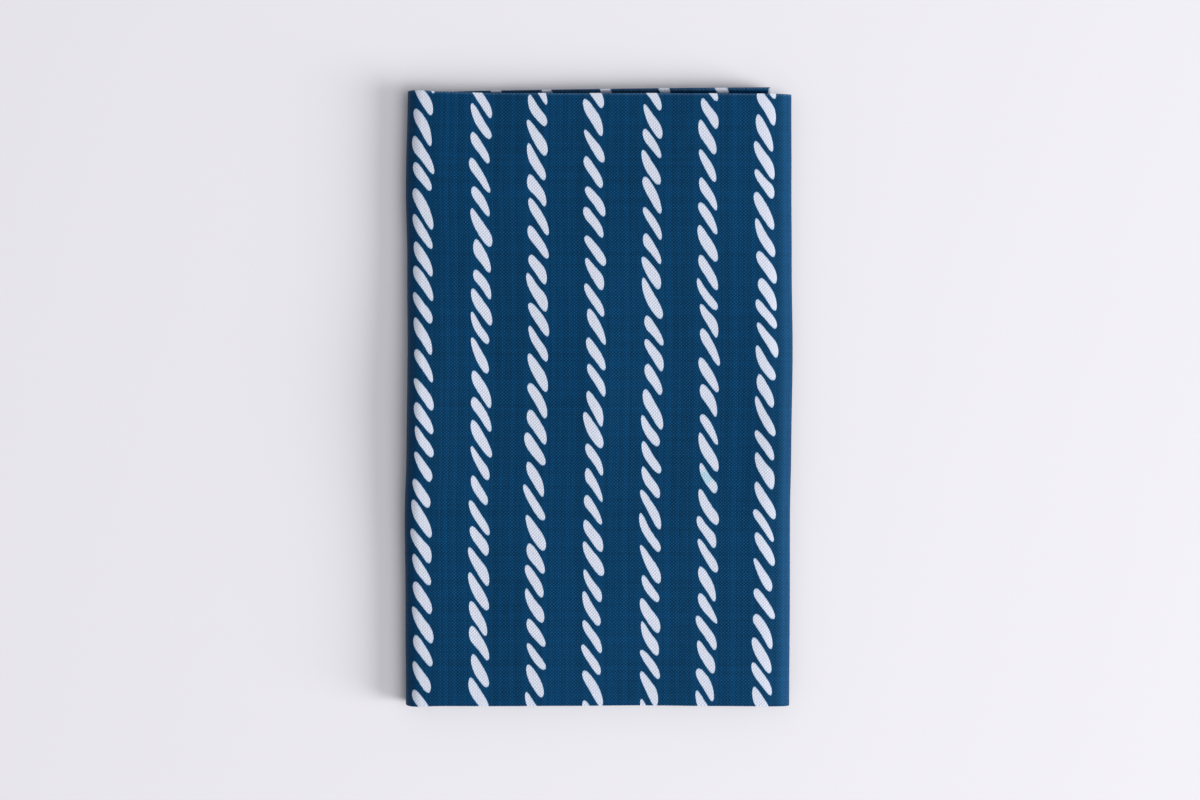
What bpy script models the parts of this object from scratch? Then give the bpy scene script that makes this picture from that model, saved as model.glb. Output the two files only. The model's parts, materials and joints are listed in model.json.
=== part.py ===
"""Cotton tenugui towel, folded into a flat pack.

One cut of plain-weave cotton, 36 x 85 cm, with two woven selvedges along its length and
two cut ends. It is doubled lengthwise, so that a crease runs along -Y and both selvedges
lie along +Y. The doubled strip is then halved three times, which leaves eight layers of
two plies each. The cloth is one piece, so it is one solid: a thin sheet that turns back
and forth through its layers, with a little air between them.

Metres, +Z up. The pack lies on Z = 0, with the middle of its box over the origin.
"""

import math
from collections import namedtuple

import bmesh
import bpy
import numpy as np

MM = 0.001

# The cloth and the pack.
PACK_WIDTH = 112.5 * MM  # X, from the left folds to the right fold
PLY_DEPTH = 178.4 * MM  # Y, from the lengthwise crease to a selvedge
CLOTH_THICKNESS = 0.32 * MM
PLY_PITCH = 0.44 * MM  # between the middles of the two plies of a layer
LAYER_PITCH = 0.90 * MM  # between the middles of neighbouring layers
LAYER_THICKNESS = PLY_PITCH + CLOTH_THICKNESS
LAYERS = 8
FRONT_LAYERS = 4  # the rest lie behind them

# How far the pack is from square.
SIDE_LEAN = math.radians(0.3)  # both fold lines lean, the -Y end towards -X
BACK_TURN = math.radians(0.7)  # the back layers turn about the left folds
BACK_SLIDE = 0.5 * MM  # and lie this much further towards +Y
INNER_PLY_SHORT = 0.4 * MM  # the inner ply's selvedge stops short of the outer one's

# How finely the sheet is divided.
FLAT_STEPS = 6
FOLD_STEPS = 10
CREASE_STEPS = 4
DEPTH_STEPS = 8

LEFT = -1
RIGHT = 1

# The strip from its first cut end to its last: the level of each layer, 1 on top, and
# the side that it runs towards.
STRIP = (
    # level, towards
    (6, LEFT),
    (3, RIGHT),
    (2, LEFT),
    (7, RIGHT),
    (8, LEFT),
    (1, RIGHT),
    (4, LEFT),
    (5, RIGHT),
)

# The folds, by the two levels that each joins. Inset is from the side of the pack to the
# outer face of the fold, and reach is how long its rounding is along X.
FOLDS = {
    # levels: (inset, reach)
    (1, 8): (0.0 * MM, 4.2 * MM),
    (2, 7): (1.0 * MM, 2.8 * MM),
    (3, 6): (2.0 * MM, 1.5 * MM),
    (4, 5): (6.6 * MM, 0.45 * MM),
    (1, 4): (0.0 * MM, 3.8 * MM),
    (2, 3): (2.2 * MM, 0.45 * MM),
    (7, 8): (6.9 * MM, 0.45 * MM),
}

# The two cut ends, by level: inset from the right side of the pack.
CUT_ENDS = {5: 6.4 * MM, 6: 7.1 * MM}

# The fold lines wander: at each place along Y, counted from the middle of the pack, how
# far each side stands out towards +X from its leaning line.
SIDE_WANDER = (
    # place, left side, right side
    (-90 * MM, 0.25 * MM, -0.05 * MM),
    (-60 * MM, 0.00 * MM, 0.00 * MM),
    (-33 * MM, -0.35 * MM, -0.10 * MM),
    (-15 * MM, 0.10 * MM, 0.15 * MM),
    (13 * MM, 0.25 * MM, 0.45 * MM),
    (40 * MM, 0.00 * MM, 0.05 * MM),
    (63 * MM, -0.55 * MM, -0.15 * MM),
    (90 * MM, -0.10 * MM, -0.30 * MM),
)

# The long edges of the front layers wander: at each place along X, counted from the
# middle of the pack, how far the selvedges and the lengthwise crease stand out towards
# +Y from a straight line.
EDGE_WANDER = (
    # place, selvedges, crease
    (-56 * MM, 0.95 * MM, -0.30 * MM),
    (-45 * MM, 0.40 * MM, 0.00 * MM),
    (-33 * MM, 0.05 * MM, -0.05 * MM),
    (-10 * MM, 0.00 * MM, 0.05 * MM),
    (12 * MM, 0.00 * MM, 0.20 * MM),
    (36 * MM, -0.10 * MM, 0.00 * MM),
    (56 * MM, -0.20 * MM, -0.15 * MM),
)

# One place along the strip: the middle of the layer in the XZ plane, the side of the
# layer that the outer ply is on, and how far the place belongs to the back layers.
Station = namedtuple("Station", "x z outward_x outward_z back")

# One place across the cloth: its share of the depth, 0 at the crease and 1 at the
# selvedges, its height above the middle of the layer, and how far it bulges at the crease.
Across = namedtuple("Across", "share height bulge")


def eased(part):
    """From 0 to 1, level at both ends."""
    return 0.5 - 0.5 * math.cos(math.pi * part)


def wander(place, table, column):
    """A column of a table at this place, eased from each row to the next."""
    for low, high in zip(table, table[1:]):
        if place <= high[0]:
            part = max(0, (place - low[0]) / (high[0] - low[0]))
            return low[column] + (high[column] - low[column]) * eased(part)
    return table[-1][column]


def level_height(level):
    """The middle of a layer above the surface that the pack lies on."""
    return LAYER_THICKNESS / 2 + (LAYERS - level) * LAYER_PITCH


def behind(level):
    return float(level > FRONT_LAYERS)


def fold_between(first, second, side):
    """The rounding of the fold at this side, from the first level to the second."""
    inset, reach = FOLDS[min(first, second), max(first, second)]
    centre = side * (PACK_WIDTH / 2 - inset - LAYER_THICKNESS / 2 - reach)
    middle = (level_height(first) + level_height(second)) / 2
    half_gap = (level_height(first) - level_height(second)) / 2
    stations = []
    for step in range(FOLD_STEPS + 1):
        part = step / FOLD_STEPS
        over, along = math.cos(math.pi * part), math.sin(math.pi * part)
        outward = np.array((side * along / reach, over / half_gap))
        outward *= math.copysign(1, half_gap) * side / np.linalg.norm(outward)
        back = behind(first) + (behind(second) - behind(first)) * eased(part)
        place = (centre + side * reach * along, middle + half_gap * over)
        stations.append(Station(*place, *outward, back))
    return stations


def strip_stations():
    """The doubled strip's section, from its first cut end to its last."""
    folds = [
        fold_between(level, following[0], side)
        for (level, side), following in zip(STRIP, STRIP[1:])
    ]
    cut_ends = [PACK_WIDTH / 2 - CUT_ENDS[STRIP[end][0]] for end in (0, -1)]
    starts = [cut_ends[0]] + [fold[-1].x for fold in folds]
    ends = [fold[0].x for fold in folds] + [cut_ends[1]]
    stations = []
    for (level, side), start, end, fold in zip(STRIP, starts, ends, folds + [[]]):
        for x in np.linspace(start, end, FLAT_STEPS + 1)[1 if stations else 0 :]:
            stations.append(Station(x, level_height(level), 0, side, behind(level)))
        stations += fold[1:]
    return stations


def cloth_profile():
    """Places across the cloth, from the outer ply's selvedge to the inner ply's."""
    radius = PLY_PITCH / 2
    shares = [1 - step / DEPTH_STEPS for step in range(DEPTH_STEPS)]
    turns = [math.pi * step / CREASE_STEPS for step in range(CREASE_STEPS + 1)]
    outer = [Across(share, radius, 0) for share in shares]
    crease = [Across(0, radius * math.cos(t), radius * math.sin(t)) for t in turns]
    inner = [Across(share, -radius, 0) for share in reversed(shares)]
    return outer + crease + inner


def cloth_point(station, across):
    """Where one point of the sheet lies in the pack."""
    front = 1 - station.back
    edge = front * wander(station.x, EDGE_WANDER, 1)
    crease = front * wander(station.x, EDGE_WANDER, 2)
    if across.height < 0:
        edge -= INNER_PLY_SHORT
    y = PLY_DEPTH * (across.share - 0.5) - across.bulge
    y += crease + (edge - crease) * across.share
    from_left = station.x + PACK_WIDTH / 2
    y += station.back * (BACK_SLIDE + math.tan(BACK_TURN) * from_left)
    left = wander(y, SIDE_WANDER, 1)
    right = wander(y, SIDE_WANDER, 2)
    x = station.x + station.outward_x * across.height
    x += math.tan(SIDE_LEAN) * y + left + (right - left) * from_left / PACK_WIDTH
    z = station.z + station.outward_z * across.height
    return np.array((x, y, z))


def folded_sheet(name):
    """The middle of the cloth's thickness as one open sheet, folded up from a flat grid."""
    stations, profile = strip_stations(), cloth_profile()
    along, across = len(stations) - 1, len(profile) - 1
    sheet = bmesh.new()
    bmesh.ops.create_grid(sheet, x_segments=along, y_segments=across, size=0.5)
    for vertex in sheet.verts:
        station = stations[round((vertex.co.x + 0.5) * along)]
        place = profile[round((vertex.co.y + 0.5) * across)]
        vertex.co = cloth_point(station, place)
    mesh = bpy.data.meshes.new(name)
    sheet.to_mesh(mesh)
    sheet.free()
    return mesh


def stand_over_origin(towel):
    """Moves the finished cloth so that the middle of its box lies over the origin."""
    cloth = towel.evaluated_get(bpy.context.evaluated_depsgraph_get())
    points = np.array([vertex.co for vertex in cloth.data.vertices])
    middle = (points.min(axis=0) + points.max(axis=0)) / 2
    for vertex in towel.data.vertices:
        vertex.co.x -= middle[0]
        vertex.co.y -= middle[1]


def dyed_cotton():
    material = bpy.data.materials.new("indigo_cotton")
    material.use_nodes = True
    shader = material.node_tree.nodes["Principled BSDF"]
    shader.inputs["Base Color"].default_value = (0.006, 0.045, 0.125, 1)
    shader.inputs["Roughness"].default_value = 0.9
    shader.inputs["Metallic"].default_value = 0
    return material


def make_towel():
    collection = bpy.data.collections.new("tenugui_towel")
    bpy.context.scene.collection.children.link(collection)
    mesh = folded_sheet("tenugui_cloth")
    mesh.materials.append(dyed_cotton())
    mesh.shade_smooth()
    mesh.set_sharp_from_angle(angle=math.radians(50))
    towel = bpy.data.objects.new("tenugui_cloth", mesh)
    collection.objects.link(towel)
    cloth = towel.modifiers.new("cloth thickness", "SOLIDIFY")
    cloth.thickness = CLOTH_THICKNESS
    cloth.offset = 0
    cloth.use_even_offset = True
    stand_over_origin(towel)


for left_over in list(bpy.data.objects):
    bpy.data.objects.remove(left_over)
make_towel()
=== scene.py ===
"""A cotton tenugui towel, folded into a flat pack and laid on a pale table."""

import json
import math
from collections import namedtuple

import bpy
import numpy as np
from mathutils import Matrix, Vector

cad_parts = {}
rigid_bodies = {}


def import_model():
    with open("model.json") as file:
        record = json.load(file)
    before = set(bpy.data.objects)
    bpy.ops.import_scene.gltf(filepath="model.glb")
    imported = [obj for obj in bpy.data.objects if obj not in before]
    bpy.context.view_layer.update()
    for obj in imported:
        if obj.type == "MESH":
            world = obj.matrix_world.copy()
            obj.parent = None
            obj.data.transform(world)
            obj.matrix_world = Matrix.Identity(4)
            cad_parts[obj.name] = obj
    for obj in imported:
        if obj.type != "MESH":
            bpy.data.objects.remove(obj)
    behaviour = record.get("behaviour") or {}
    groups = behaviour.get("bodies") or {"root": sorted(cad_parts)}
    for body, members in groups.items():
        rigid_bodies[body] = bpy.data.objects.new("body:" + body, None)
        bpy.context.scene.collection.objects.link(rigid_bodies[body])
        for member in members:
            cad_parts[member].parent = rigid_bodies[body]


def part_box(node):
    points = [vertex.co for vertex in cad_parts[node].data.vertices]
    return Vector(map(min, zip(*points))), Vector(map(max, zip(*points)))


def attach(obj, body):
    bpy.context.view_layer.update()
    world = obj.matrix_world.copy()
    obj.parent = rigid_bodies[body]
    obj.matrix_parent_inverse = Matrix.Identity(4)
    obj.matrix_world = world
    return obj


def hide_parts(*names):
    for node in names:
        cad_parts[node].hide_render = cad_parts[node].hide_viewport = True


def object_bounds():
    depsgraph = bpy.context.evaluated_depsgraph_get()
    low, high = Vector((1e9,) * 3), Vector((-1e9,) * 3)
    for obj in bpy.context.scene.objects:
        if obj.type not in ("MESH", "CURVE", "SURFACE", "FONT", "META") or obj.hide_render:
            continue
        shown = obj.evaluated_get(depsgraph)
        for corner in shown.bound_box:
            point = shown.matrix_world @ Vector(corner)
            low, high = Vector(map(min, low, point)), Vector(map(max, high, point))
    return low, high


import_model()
cad_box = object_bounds()

MM = 0.001


def deselect_all():
    for thing in bpy.context.view_layer.objects:
        thing.select_set(False)


def make_active(thing):
    deselect_all()
    thing.select_set(True)
    bpy.context.view_layer.objects.active = thing


# ---------------------------------------------------------------------------
# The cloth.
# One cut of plain-weave cotton, doubled lengthwise with its selvedges together at +Y, and
# the doubled strip then halved three times. It is one thin sheet, folded by hand.
# ---------------------------------------------------------------------------

PACK_WIDTH = 112.5 * MM
PLY_DEPTH = 178.4 * MM
CLOTH_THICKNESS = 0.30 * MM
PLY_PITCH = 0.44 * MM
LAYER_PITCH = 0.90 * MM
LOWEST_LAYER = 0.38 * MM  # the middle of the lowest layer above the table
LAYERS = 8
FRONT_LAYERS = 4
PACK_HEIGHT = LOWEST_LAYER + (LAYERS - 1) * LAYER_PITCH

SIDE_LEAN = math.radians(0.3)
BACK_TURN = math.radians(0.7)
BACK_SLIDE = 0.5 * MM
INNER_PLY_SHORT = 0.4 * MM

FLAT_STEPS = 26
FOLD_STEPS = 18
CREASE_STEPS = 6
DEPTH_STEPS = 46
EDGE_STEPS = 6  # of those, the ones close to the selvedge
EDGE_DEPTH = 5 * MM
SHARPEST_SMOOTH_ANGLE = math.radians(50)

LEFT, RIGHT = -1, 1

# The doubled strip from its first cut end to its last, 1 being the top layer.
STRIP = (
    # level, towards
    (6, LEFT),
    (3, RIGHT),
    (2, LEFT),
    (7, RIGHT),
    (8, LEFT),
    (1, RIGHT),
    (4, LEFT),
    (5, RIGHT),
)

# Each fold's inset from the side of the pack, and how long its rounding is along X.
FOLDS = {
    # levels: (inset, reach)
    (1, 8): (0.0 * MM, 4.2 * MM),
    (2, 7): (1.0 * MM, 2.8 * MM),
    (3, 6): (2.0 * MM, 1.5 * MM),
    (4, 5): (6.6 * MM, 0.45 * MM),
    (1, 4): (0.0 * MM, 3.8 * MM),
    (2, 3): (2.2 * MM, 0.45 * MM),
    (7, 8): (6.9 * MM, 0.45 * MM),
}
CUT_ENDS = {5: 6.4 * MM, 6: 7.1 * MM}  # by level: inset from the right side

# How far the two fold lines stand out towards +X, from the bottom of the pack up.
SIDE_WANDER = (
    # place, left side, right side
    (-90 * MM, 0.25 * MM, -0.05 * MM),
    (-60 * MM, 0.00 * MM, 0.00 * MM),
    (-33 * MM, -0.35 * MM, -0.10 * MM),
    (-15 * MM, 0.10 * MM, 0.15 * MM),
    (13 * MM, 0.25 * MM, 0.45 * MM),
    (40 * MM, 0.00 * MM, 0.05 * MM),
    (63 * MM, -0.55 * MM, -0.15 * MM),
    (90 * MM, -0.10 * MM, -0.30 * MM),
)

# How far the front's long edges stand out towards +Y, from the left of the pack across.
EDGE_WANDER = (
    # place, selvedges, crease
    (-56 * MM, 0.95 * MM, -0.30 * MM),
    (-45 * MM, 0.40 * MM, 0.00 * MM),
    (-33 * MM, 0.05 * MM, -0.05 * MM),
    (-10 * MM, 0.00 * MM, 0.05 * MM),
    (12 * MM, 0.00 * MM, 0.20 * MM),
    (36 * MM, -0.10 * MM, 0.00 * MM),
    (56 * MM, -0.20 * MM, -0.15 * MM),
)

# Soft troughs and ridges left in the pack by handling: where each lies, how far it spreads
# across and along, which way it runs, and how high it lifts the top layer.
PRESSED = (
    # x, y, across, along, turn in degrees, lift
    (-57 * MM, -3 * MM, 15 * MM, 30 * MM, 0, 1.50 * MM),
    (57 * MM, -12 * MM, 13 * MM, 28 * MM, 0, 1.20 * MM),
    (44 * MM, -12 * MM, 6 * MM, 15 * MM, -8, -0.30 * MM),
    (-1 * MM, 2 * MM, 10 * MM, 36 * MM, 0, 0.55 * MM),
    (-18 * MM, 56 * MM, 12 * MM, 22 * MM, 10, -0.25 * MM),
    (24 * MM, 62 * MM, 12 * MM, 26 * MM, -8, 0.25 * MM),
    (-36 * MM, -62 * MM, 10 * MM, 22 * MM, 6, -0.25 * MM),
    (8 * MM, -60 * MM, 11 * MM, 20 * MM, -4, 0.20 * MM),
)

# The front layers sag where they reach past the ends of the back ones, and the back ones
# spring up a little where they show past the front.
SAG = 1.6 * MM
SAG_FROM = 48.0 * MM
SPRING = 2.4 * MM
SPRING_REACH = 1.6 * MM
SPRING_START = 0.2 * MM  # this far inside the front's selvedge

Station = namedtuple("Station", "x z outward_x outward_z back")
Across = namedtuple("Across", "share height bulge")


def eased(part):
    return 0.5 - 0.5 * np.cos(np.pi * np.clip(part, 0, 1))


def wander(place, table, column):
    rows = np.array(table)
    low = np.clip(np.searchsorted(rows[:, 0], place) - 1, 0, len(rows) - 2)
    part = (place - rows[low, 0]) / (rows[low + 1, 0] - rows[low, 0])
    return rows[low, column] + (rows[low + 1, column] - rows[low, column]) * eased(part)


def level_height(level):
    return LOWEST_LAYER + (LAYERS - level) * LAYER_PITCH


def behind(level):
    return float(level > FRONT_LAYERS)


def fold_between(first, second, side):
    inset, reach = FOLDS[min(first, second), max(first, second)]
    centre = side * (PACK_WIDTH / 2 - inset - LOWEST_LAYER - reach)
    middle = (level_height(first) + level_height(second)) / 2
    half_gap = (level_height(first) - level_height(second)) / 2
    stations = []
    for part in np.linspace(0, 1, FOLD_STEPS + 1):
        over, along = math.cos(math.pi * part), math.sin(math.pi * part)
        outward = np.array((side * along / reach, over / half_gap))
        outward *= math.copysign(1, half_gap) * side / np.linalg.norm(outward)
        back = behind(first) + (behind(second) - behind(first)) * eased(part)
        place = (centre + side * reach * along, middle + half_gap * over)
        stations.append(Station(*place, *outward, back))
    return stations


def strip_stations():
    folds = [
        fold_between(level, following[0], side)
        for (level, side), following in zip(STRIP, STRIP[1:])
    ]
    cut_ends = [PACK_WIDTH / 2 - CUT_ENDS[STRIP[end][0]] for end in (0, -1)]
    starts = [cut_ends[0]] + [fold[-1].x for fold in folds]
    ends = [fold[0].x for fold in folds] + [cut_ends[1]]
    stations = []
    for (level, side), start, end, fold in zip(STRIP, starts, ends, folds + [[]]):
        for x in np.linspace(start, end, FLAT_STEPS + 1)[1 if stations else 0 :]:
            stations.append(Station(x, level_height(level), 0, side, behind(level)))
        stations += fold[1:]
    return Station(*np.array(stations).T[:, :, None])


def cloth_profile():
    radius = PLY_PITCH / 2
    edge = 1 - EDGE_DEPTH / PLY_DEPTH
    shares = list(np.linspace(1, edge, EDGE_STEPS, endpoint=False))
    shares += list(np.linspace(edge, 0, DEPTH_STEPS - EDGE_STEPS, endpoint=False))
    turns = [math.pi * step / CREASE_STEPS for step in range(CREASE_STEPS + 1)]
    outer = [Across(share, radius, 0) for share in shares]
    crease = [Across(0, radius * math.cos(t), radius * math.sin(t)) for t in turns]
    inner = [Across(share, -radius, 0) for share in reversed(shares)]
    return Across(*np.array(outer + crease + inner).T[:, None, :])


def pressed_lift(x, y):
    """How far the top layer is lifted here."""
    lift = np.zeros_like(x + y)
    for centre_x, centre_y, across, along, turn, height in PRESSED:
        turn = math.radians(turn)
        right, up = x - centre_x, y - centre_y
        sideways = (right * math.cos(turn) + up * math.sin(turn)) / across
        lengthways = (up * math.cos(turn) - right * math.sin(turn)) / along
        lift += height * np.exp(-(sideways**2) - lengthways**2)
    return lift


def folded_points(station, across):
    front = 1 - station.back
    edge = front * wander(station.x, EDGE_WANDER, 1)
    crease = front * wander(station.x, EDGE_WANDER, 2)
    edge = edge - INNER_PLY_SHORT * (across.height < 0)
    y = PLY_DEPTH * (across.share - 0.5) - across.bulge
    y = y + crease + (edge - crease) * across.share
    from_left = station.x + PACK_WIDTH / 2
    y = y + station.back * (BACK_SLIDE + math.tan(BACK_TURN) * from_left)
    left = wander(y, SIDE_WANDER, 1)
    right = wander(y, SIDE_WANDER, 2)
    x = station.x + station.outward_x * across.height
    x = x + math.tan(SIDE_LEAN) * y + left + (right - left) * from_left / PACK_WIDTH
    z = station.z + station.outward_z * across.height
    z = z + pressed_lift(x, y) * (z - CLOTH_THICKNESS / 2) / PACK_HEIGHT
    past = np.clip((x - SAG_FROM) / (PACK_WIDTH / 2 - SAG_FROM), 0, 1.1)
    z = z - front * SAG * past**2 * (z / PACK_HEIGHT)
    showing = y - (PLY_DEPTH / 2 + wander(station.x, EDGE_WANDER, 1) - SPRING_START)
    z = z + station.back * SPRING * eased(showing / SPRING_REACH) * z / level_height(5)
    return np.stack((x, y, z), axis=-1)


def cloth_places(station, across):
    """Places on the cloth itself, in millimetres: along it from its first cut end, and across
    it from the crease to each selvedge, with the outer ply's side counted as positive."""
    x, z = station.x[:, 0], station.z[:, 0]
    run = np.concatenate(([0], np.cumsum(np.hypot(np.diff(x), np.diff(z)))))
    from_crease = across.share * PLY_DEPTH + PLY_PITCH / 2
    side = across.height / (PLY_PITCH / 2)
    width = side * from_crease
    return np.stack(np.broadcast_arrays(run[:, None], width), axis=-1) / MM


def folded_cloth(name):
    """The cloth as one open sheet, and the length of the doubled strip."""
    station, across = strip_stations(), cloth_profile()
    points, places = folded_points(station, across), cloth_places(station, across)
    rows, columns = points.shape[:2]
    corner = np.arange(rows * columns).reshape(rows, columns)
    faces = np.stack(
        (corner[:-1, :-1], corner[:-1, 1:], corner[1:, 1:], corner[1:, :-1]), axis=-1
    ).reshape(-1, 4)
    mesh = bpy.data.meshes.new(name)
    mesh.from_pydata(points.reshape(-1, 3), [], faces)
    weave_map = mesh.uv_layers.new(name="weave")
    weave_map.uv.foreach_set("vector", places.reshape(-1, 2)[faces.ravel()].ravel())
    cloth = bpy.data.objects.new(name, mesh)
    bpy.context.scene.collection.objects.link(cloth)
    return cloth, float(places[-1, 0, 0]) * MM


def give_thickness(cloth):
    make_active(cloth)
    thickness = cloth.modifiers.new("thickness", "SOLIDIFY")
    thickness.thickness = CLOTH_THICKNESS
    thickness.offset = 0
    thickness.use_even_offset = True
    bpy.ops.object.modifier_apply(modifier=thickness.name)
    bpy.ops.object.shade_smooth_by_angle(angle=SHARPEST_SMOOTH_ANGLE)


def line_up_with_frame(cloth, node):
    """Moves the cloth in its own mesh, so that it stands over the origin as its node does."""
    low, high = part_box(node)
    points = np.array([vertex.co for vertex in cloth.data.vertices])
    shift = (np.array(low) + np.array(high)) / 2 - (points.min(0) + points.max(0)) / 2
    shift[2] = low[2] - points[:, 2].min()
    cloth.data.vertices.foreach_set("co", (points + shift).ravel())
    cloth.data.update()


cloth, STRIP_LENGTH = folded_cloth("cotton_cloth")
give_thickness(cloth)
line_up_with_frame(cloth, "tenugui_cloth")

CLOTH_WIDTH = 2 * (PLY_DEPTH + PLY_PITCH / 2)
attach(cloth, "root")
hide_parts("tenugui_cloth")

# ---------------------------------------------------------------------------
# The dye and the weave.
# White cotton dyed indigo right through, with the rope stripes kept white by paste. Each
# stripe is a column of slanting hand-cut drops, and the threads show at 20 to the centimetre.
# ---------------------------------------------------------------------------

INDIGO = (0.0008, 0.0275, 0.084)
UNDYED = (0.628, 0.654, 0.744)
PALE_BLUE = (0.26, 0.44, 0.64)
STAIN_BLUE = (0.36, 0.60, 0.70)
STAIN = (622.9, 66.6)  # along and across the cloth
STAIN_RADIUS = 2.6
STAIN_STRENGTH = 0.75
BLEED_STRENGTH = 0.55
SELVEDGE_WIDTH = 0.9
SELVEDGE_PALENESS = 0.09
FIBRE_SHINE = (0.08, 0.50, 1.0)
FIBRE_SHEEN = (0.4, 0.7, 1.0)
# The stripe, in millimetres.
COLUMN_PITCH = 16.59
COLUMN_WANDER = 2.4
COLUMN_WANDER_OVER = 45
FIRST_COLUMN = 540.6  # along the cloth, at the left of the front
DROP_PITCH = 7.6
DROP_PITCH_DRIFT = 5.0
DROP_PITCH_DRIFT_OVER = 24
DROP_SLANT = 1.45
DROP_CURL = 0.021
DROP_HALF_LENGTH = 2.88
DROP_HALF_HEIGHT = 2.43
DROP_BLUNTNESS = 4.0
DROP_ROUNDING = 0.52
ACROSS_DROP = 0.58  # the share of a distance up the cloth that lies across a slanting drop
KNIFE_STEP, KNIFE_ROUGHNESS = 1.1, 0.22
THREAD_STEP, THREAD_ROUGHNESS = 0.42, 0.12
BLEED_DEPTH = 0.42
THREAD_PITCH = (0.50, 0.48)  # along the cloth and across it
OVER_UNDER_HEIGHT = 0.045
PILLOW_HEIGHT = 0.03
SLUB_HEIGHT = 0.03

# How far each drop may stray from these, either way.
VARIES = {
    "length": 0.30,
    "shift": 0.30,
    "place": 0.45,
    "slant": 0.12,
    "curl": 0.35,
    "bend": 0.95,
    "height": 0.38,
    "taper": 0.22,
    "bluntness": 1.2,
}

# How strongly each feature of the weave lightens or darkens the colour: the warp, weft, slub
# and patch tones are the cloth's own uneven tone, while the over-and-under and pillow terms
# are painted shade of the weave's relief.
WARP_TONE = 0.10
WEFT_TONE = 0.20
SLUB_TONE = 0.35
OVER_UNDER_SHADE = 0.55
PILLOW_SHADE = 0.50
PATCH_TONE = 0.30
TONE_ON_WHITE = 0.10

dyed_cotton = bpy.data.materials.new("dyed_cotton")
dyed_cotton.use_nodes = True
tree = dyed_cotton.node_tree
shader = tree.nodes["Principled BSDF"]


def join(value, socket):
    if isinstance(value, bpy.types.NodeSocket):
        tree.links.new(value, socket)
    else:
        socket.default_value = value


def maths(operation, *values):
    node = tree.nodes.new("ShaderNodeMath")
    node.operation = operation
    for value, socket in zip(values, node.inputs):
        join(value, socket)
    return node.outputs[0]


def plus(a, b):
    return maths("ADD", a, b)


def minus(a, b):
    return maths("SUBTRACT", a, b)


def times(a, b):
    return maths("MULTIPLY", a, b)


def over(a, b):
    return maths("DIVIDE", a, b)


def vector(x, y, z):
    node = tree.nodes.new("ShaderNodeCombineXYZ")
    for value, socket in zip((x, y, z), node.inputs):
        join(value, socket)
    return node.outputs[0]


def chances(x, y, z):
    """Three random numbers from -1 to 1, fixed for each cell."""
    node = tree.nodes.new("ShaderNodeTexWhiteNoise")
    node.noise_dimensions = "3D"
    join(vector(x, y, z), node.inputs["Vector"])
    parts = tree.nodes.new("ShaderNodeSeparateColor")
    tree.links.new(node.outputs["Color"], parts.inputs[0])
    return [minus(times(part, 2), 1) for part in parts.outputs]


def drift(x, y, seed, detail=2):
    """A smooth random number, about -0.5 to 0.5."""
    node = tree.nodes.new("ShaderNodeTexNoise")
    node.noise_dimensions = "3D"
    node.inputs["Scale"].default_value = 1
    node.inputs["Detail"].default_value = detail
    join(vector(x, y, seed), node.inputs["Vector"])
    return minus(node.outputs["Fac"], 0.5)


def ramp(value, low, high):
    """From 0 to 1 as the value goes from low to high."""
    node = tree.nodes.new("ShaderNodeMapRange")
    node.interpolation_type = "SMOOTHSTEP"
    join(value, node.inputs["Value"])
    node.inputs["From Min"].default_value = low
    node.inputs["From Max"].default_value = high
    return node.outputs["Result"]


def mixed(share, first, second, blend="MIX"):
    node = tree.nodes.new("ShaderNodeMix")
    node.data_type = "RGBA"
    node.blend_type = blend
    join(share, node.inputs[0])
    for value, socket in zip((first, second), (node.inputs[6], node.inputs[7])):
        join(value if isinstance(value, bpy.types.NodeSocket) else (*value, 1), socket)
    return node.outputs[2]


place = tree.nodes.new("ShaderNodeUVMap")
place.uv_map = "weave"
axes = tree.nodes.new("ShaderNodeSeparateXYZ")
tree.links.new(place.outputs["UV"], axes.inputs[0])
along_cloth, across_cloth = axes.outputs[0], axes.outputs[1]

# Which stripe this is, and how far the place is from its middle.
columns = over(minus(along_cloth, FIRST_COLUMN), COLUMN_PITCH)
column = maths("ROUND", columns)
from_middle = times(minus(columns, column), COLUMN_PITCH)
stripe_wander = drift(times(column, 7.31), over(across_cloth, COLUMN_WANDER_OVER), 3.1)
from_middle = minus(from_middle, times(stripe_wander, COLUMN_WANDER))

# Which drop of the stripe this is, and how far the place is from its slanting middle.
start = chances(column, 5, 9)[0]
stretch = drift(times(column, 3.77), over(across_cloth, DROP_PITCH_DRIFT_OVER), 8.2)
stretch = times(stretch, DROP_PITCH_DRIFT)
down = plus(across_cloth, times(from_middle, DROP_SLANT))
down = plus(plus(down, stretch), times(start, DROP_PITCH / 2))
drop = maths("ROUND", over(down, DROP_PITCH))
from_axis = minus(down, times(drop, DROP_PITCH))

# Each drop is cut a little differently.
longer, shifted, taller = chances(column, drop, 1)
steeper, higher, bent = chances(column, drop, 2)
fatter, sharper, curled = chances(column, drop, 3)
half_length = plus(times(longer, VARIES["length"]), DROP_HALF_LENGTH)
sideways = minus(from_middle, times(shifted, VARIES["shift"]))
share = over(sideways, half_length)
squared = times(share, share)
from_axis = minus(from_axis, times(higher, VARIES["place"]))
from_axis = minus(from_axis, times(times(steeper, VARIES["slant"]), sideways))
curl = plus(times(curled, VARIES["curl"]), DROP_CURL * DROP_HALF_LENGTH**3)
from_axis = minus(from_axis, times(curl, times(squared, share)))
from_axis = plus(from_axis, times(times(bent, VARIES["bend"]), minus(squared, 0.35)))
half_height = plus(times(taller, VARIES["height"]), DROP_HALF_HEIGHT)
half_height = times(half_height, plus(times(times(fatter, VARIES["taper"]), share), 1))
tip = plus(times(sharper, VARIES["bluntness"]), DROP_BLUNTNESS)
closing = minus(1, maths("POWER", maths("ABSOLUTE", share), tip))
rounding = maths("POWER", maths("ABSOLUTE", closing), DROP_ROUNDING)
rounding = times(maths("SIGN", closing), rounding)
inside = minus(times(half_height, rounding), maths("ABSOLUTE", from_axis))
inside = times(inside, ACROSS_DROP)

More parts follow.
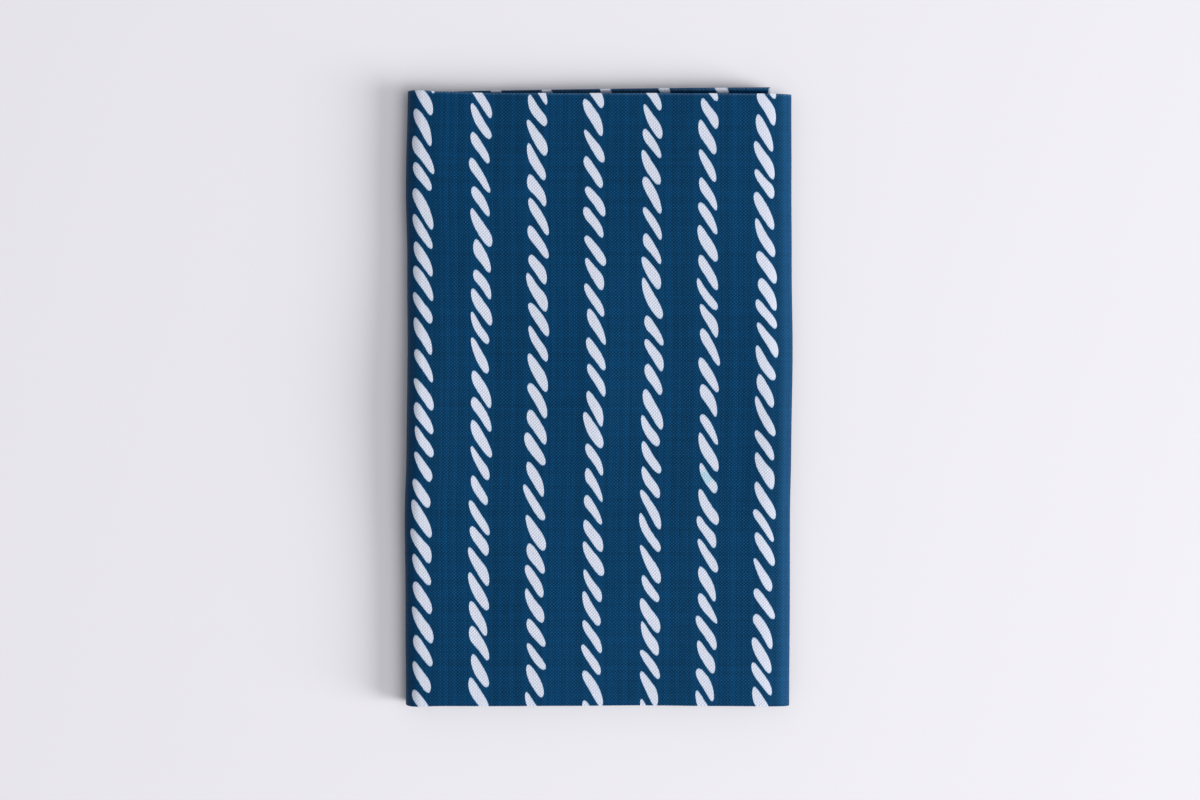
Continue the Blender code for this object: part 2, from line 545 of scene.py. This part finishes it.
# The knife and the threads leave the edge a little ragged.
knife = drift(over(along_cloth, KNIFE_STEP), over(across_cloth, KNIFE_STEP), 2.0)
ragged = drift(over(along_cloth, THREAD_STEP), over(across_cloth, THREAD_STEP), 7.0, detail=1)
inside = plus(plus(inside, times(knife, KNIFE_ROUGHNESS)), times(ragged, THREAD_ROUGHNESS))
undyed = ramp(inside, -0.06, 0.07)
bled = ramp(inside, BLEED_DEPTH, 0.02)

# The threads, each a little lighter or darker than the next, with painted shade of their
# relief: the crossings lighter and darker by turns, and darker in the crevices between them.
warp = over(across_cloth, THREAD_PITCH[1])
weft = over(along_cloth, THREAD_PITCH[0])
warp_wave = maths("SINE", times(warp, math.pi))
weft_wave = maths("SINE", times(weft, math.pi))
over_under = times(warp_wave, weft_wave)
pillow = maths("POWER", maths("ABSOLUTE", over_under), 0.6)
warp_shade = chances(maths("FLOOR", warp), 3, 4)[0]
weft_shade = chances(maths("FLOOR", weft), 6, 2)[0]
slub = drift(over(along_cloth, 9), times(maths("FLOOR", warp), 0.37), 5.5)
slub_across = drift(times(maths("FLOOR", weft), 0.41), over(across_cloth, 9), 1.5)
threads = plus(times(warp_shade, WARP_TONE), times(weft_shade, WEFT_TONE))
threads = plus(threads, times(plus(slub, slub_across), SLUB_TONE))
# Painted shade of the weave's relief, in the blue and, more faintly, in the white.
threads = plus(threads, times(over_under, OVER_UNDER_SHADE))
threads = plus(threads, times(minus(pillow, 0.6), PILLOW_SHADE))
patches = times(drift(over(along_cloth, 30), over(across_cloth, 55), 4.4), PATCH_TONE)
blue_shade = plus(plus(threads, patches), 1)
white_shade = plus(times(threads, TONE_ON_WHITE), 1)

# A selvedge holds its threads closer; within about a millimetre of each selvedge the blue is
# drawn a little paler.
from_crease = maths("ABSOLUTE", across_cloth)
cloth_edge = CLOTH_WIDTH / 2 / MM
selvedge = ramp(from_crease, cloth_edge - SELVEDGE_WIDTH, cloth_edge - 0.1)
indigo = mixed(times(selvedge, SELVEDGE_PALENESS), INDIGO, PALE_BLUE)
indigo = mixed(1, indigo, vector(blue_shade, blue_shade, blue_shade), "MULTIPLY")

# One drop near the right of the front took a spot of thin dye.
off_x = minus(along_cloth, STAIN[0])
off_y = minus(across_cloth, STAIN[1])
stain_distance = maths("SQRT", plus(times(off_x, off_x), times(off_y, off_y)))
stain = times(ramp(stain_distance, STAIN_RADIUS, 1.4), STAIN_STRENGTH)
white = mixed(times(bled, BLEED_STRENGTH), UNDYED, PALE_BLUE)
white = mixed(stain, white, STAIN_BLUE)
white = mixed(1, white, vector(white_shade, white_shade, white_shade), "MULTIPLY")
tree.links.new(mixed(undyed, indigo, white), shader.inputs["Base Color"])

shader.inputs["Roughness"].default_value = 0.6
shader.inputs["Specular IOR Level"].default_value = 0.5
shader.inputs["Specular Tint"].default_value = (*FIBRE_SHINE, 1)
shader.inputs["Sheen Weight"].default_value = 0.05
shader.inputs["Sheen Roughness"].default_value = 0.3
shader.inputs["Sheen Tint"].default_value = (*FIBRE_SHEEN, 1)
weave_height = plus(times(over_under, OVER_UNDER_HEIGHT), times(pillow, PILLOW_HEIGHT))
weave_height = plus(weave_height, times(plus(slub, slub_across), SLUB_HEIGHT))
bump = tree.nodes.new("ShaderNodeBump")
bump.inputs["Distance"].default_value = MM
bump.inputs["Strength"].default_value = 1
join(weave_height, bump.inputs["Height"])
tree.links.new(bump.outputs[0], shader.inputs["Normal"])
cloth.data.materials.append(dyed_cotton)

# ---------------------------------------------------------------------------
# The studio.
# A pale table, a broad low window to the right, a high soft lamp beside it and a bright
# room all round. The camera looks straight down.
# ---------------------------------------------------------------------------

TABLE_SIZE = 6.0
TABLE_COLOUR = (0.78, 0.772, 0.805)
LIGHT_COLOUR = (1.0, 0.995, 0.99)
ROOM_COLOUR = (0.96, 0.96, 1.0)
ROOM_BRIGHTNESS = 0.40

bpy.ops.mesh.primitive_plane_add(size=TABLE_SIZE, location=(0, 0, 0))
table = bpy.context.object
table.name = "table_top"
painted = bpy.data.materials.new("painted_table")
painted.use_nodes = True
painted_shader = painted.node_tree.nodes["Principled BSDF"]
painted_shader.inputs["Base Color"].default_value = (*TABLE_COLOUR, 1)
painted_shader.inputs["Roughness"].default_value = 0.9
painted_shader.inputs["Specular IOR Level"].default_value = 0.1
table.data.materials.append(painted)


def soft_light(name, place, size, watts):
    """A round lamp that faces the pack."""
    data = bpy.data.lights.new(name, "AREA")
    data.shape = "DISK"
    data.size = size
    data.energy = watts
    data.color = LIGHT_COLOUR
    lamp = bpy.data.objects.new(name, data)
    bpy.context.scene.collection.objects.link(lamp)
    lamp.location = place
    lamp.rotation_mode = "QUATERNION"
    lamp.rotation_quaternion = Vector(place).to_track_quat("Z", "Y")


def round_the_sky(turn, height, distance):
    """A place this far from the pack, turned from +X and raised from the table in degrees."""
    turn, height = math.radians(turn), math.radians(height)
    flat = distance * math.cos(height)
    return flat * math.cos(turn), flat * math.sin(turn), distance * math.sin(height)


soft_light("window", round_the_sky(turn=-15, height=20, distance=4.0), size=2.0, watts=190)
soft_light("lamp", round_the_sky(turn=-20, height=60, distance=3.0), size=2.2, watts=36)

world = bpy.data.worlds.new("room")
bpy.context.scene.world = world
world.use_nodes = True
world.node_tree.nodes["Background"].inputs["Color"].default_value = (*ROOM_COLOUR, 1)
world.node_tree.nodes["Background"].inputs["Strength"].default_value = ROOM_BRIGHTNESS
bpy.context.scene.view_settings.view_transform = "Standard"

LENS = 85.0
SENSOR = 36.0
VIEW_WIDTH = 349.8 * MM  # across the top of the pack
CAMERA_X, CAMERA_Y = 0.40 * MM, -0.92 * MM

camera_data = bpy.data.cameras.new("overhead")
camera_data.lens = LENS
camera_data.sensor_width = SENSOR
camera = bpy.data.objects.new("overhead", camera_data)
camera.location = (CAMERA_X, CAMERA_Y, cad_box[1][2] + VIEW_WIDTH * LENS / SENSOR)
bpy.context.scene.collection.objects.link(camera)
bpy.context.scene.camera = camera
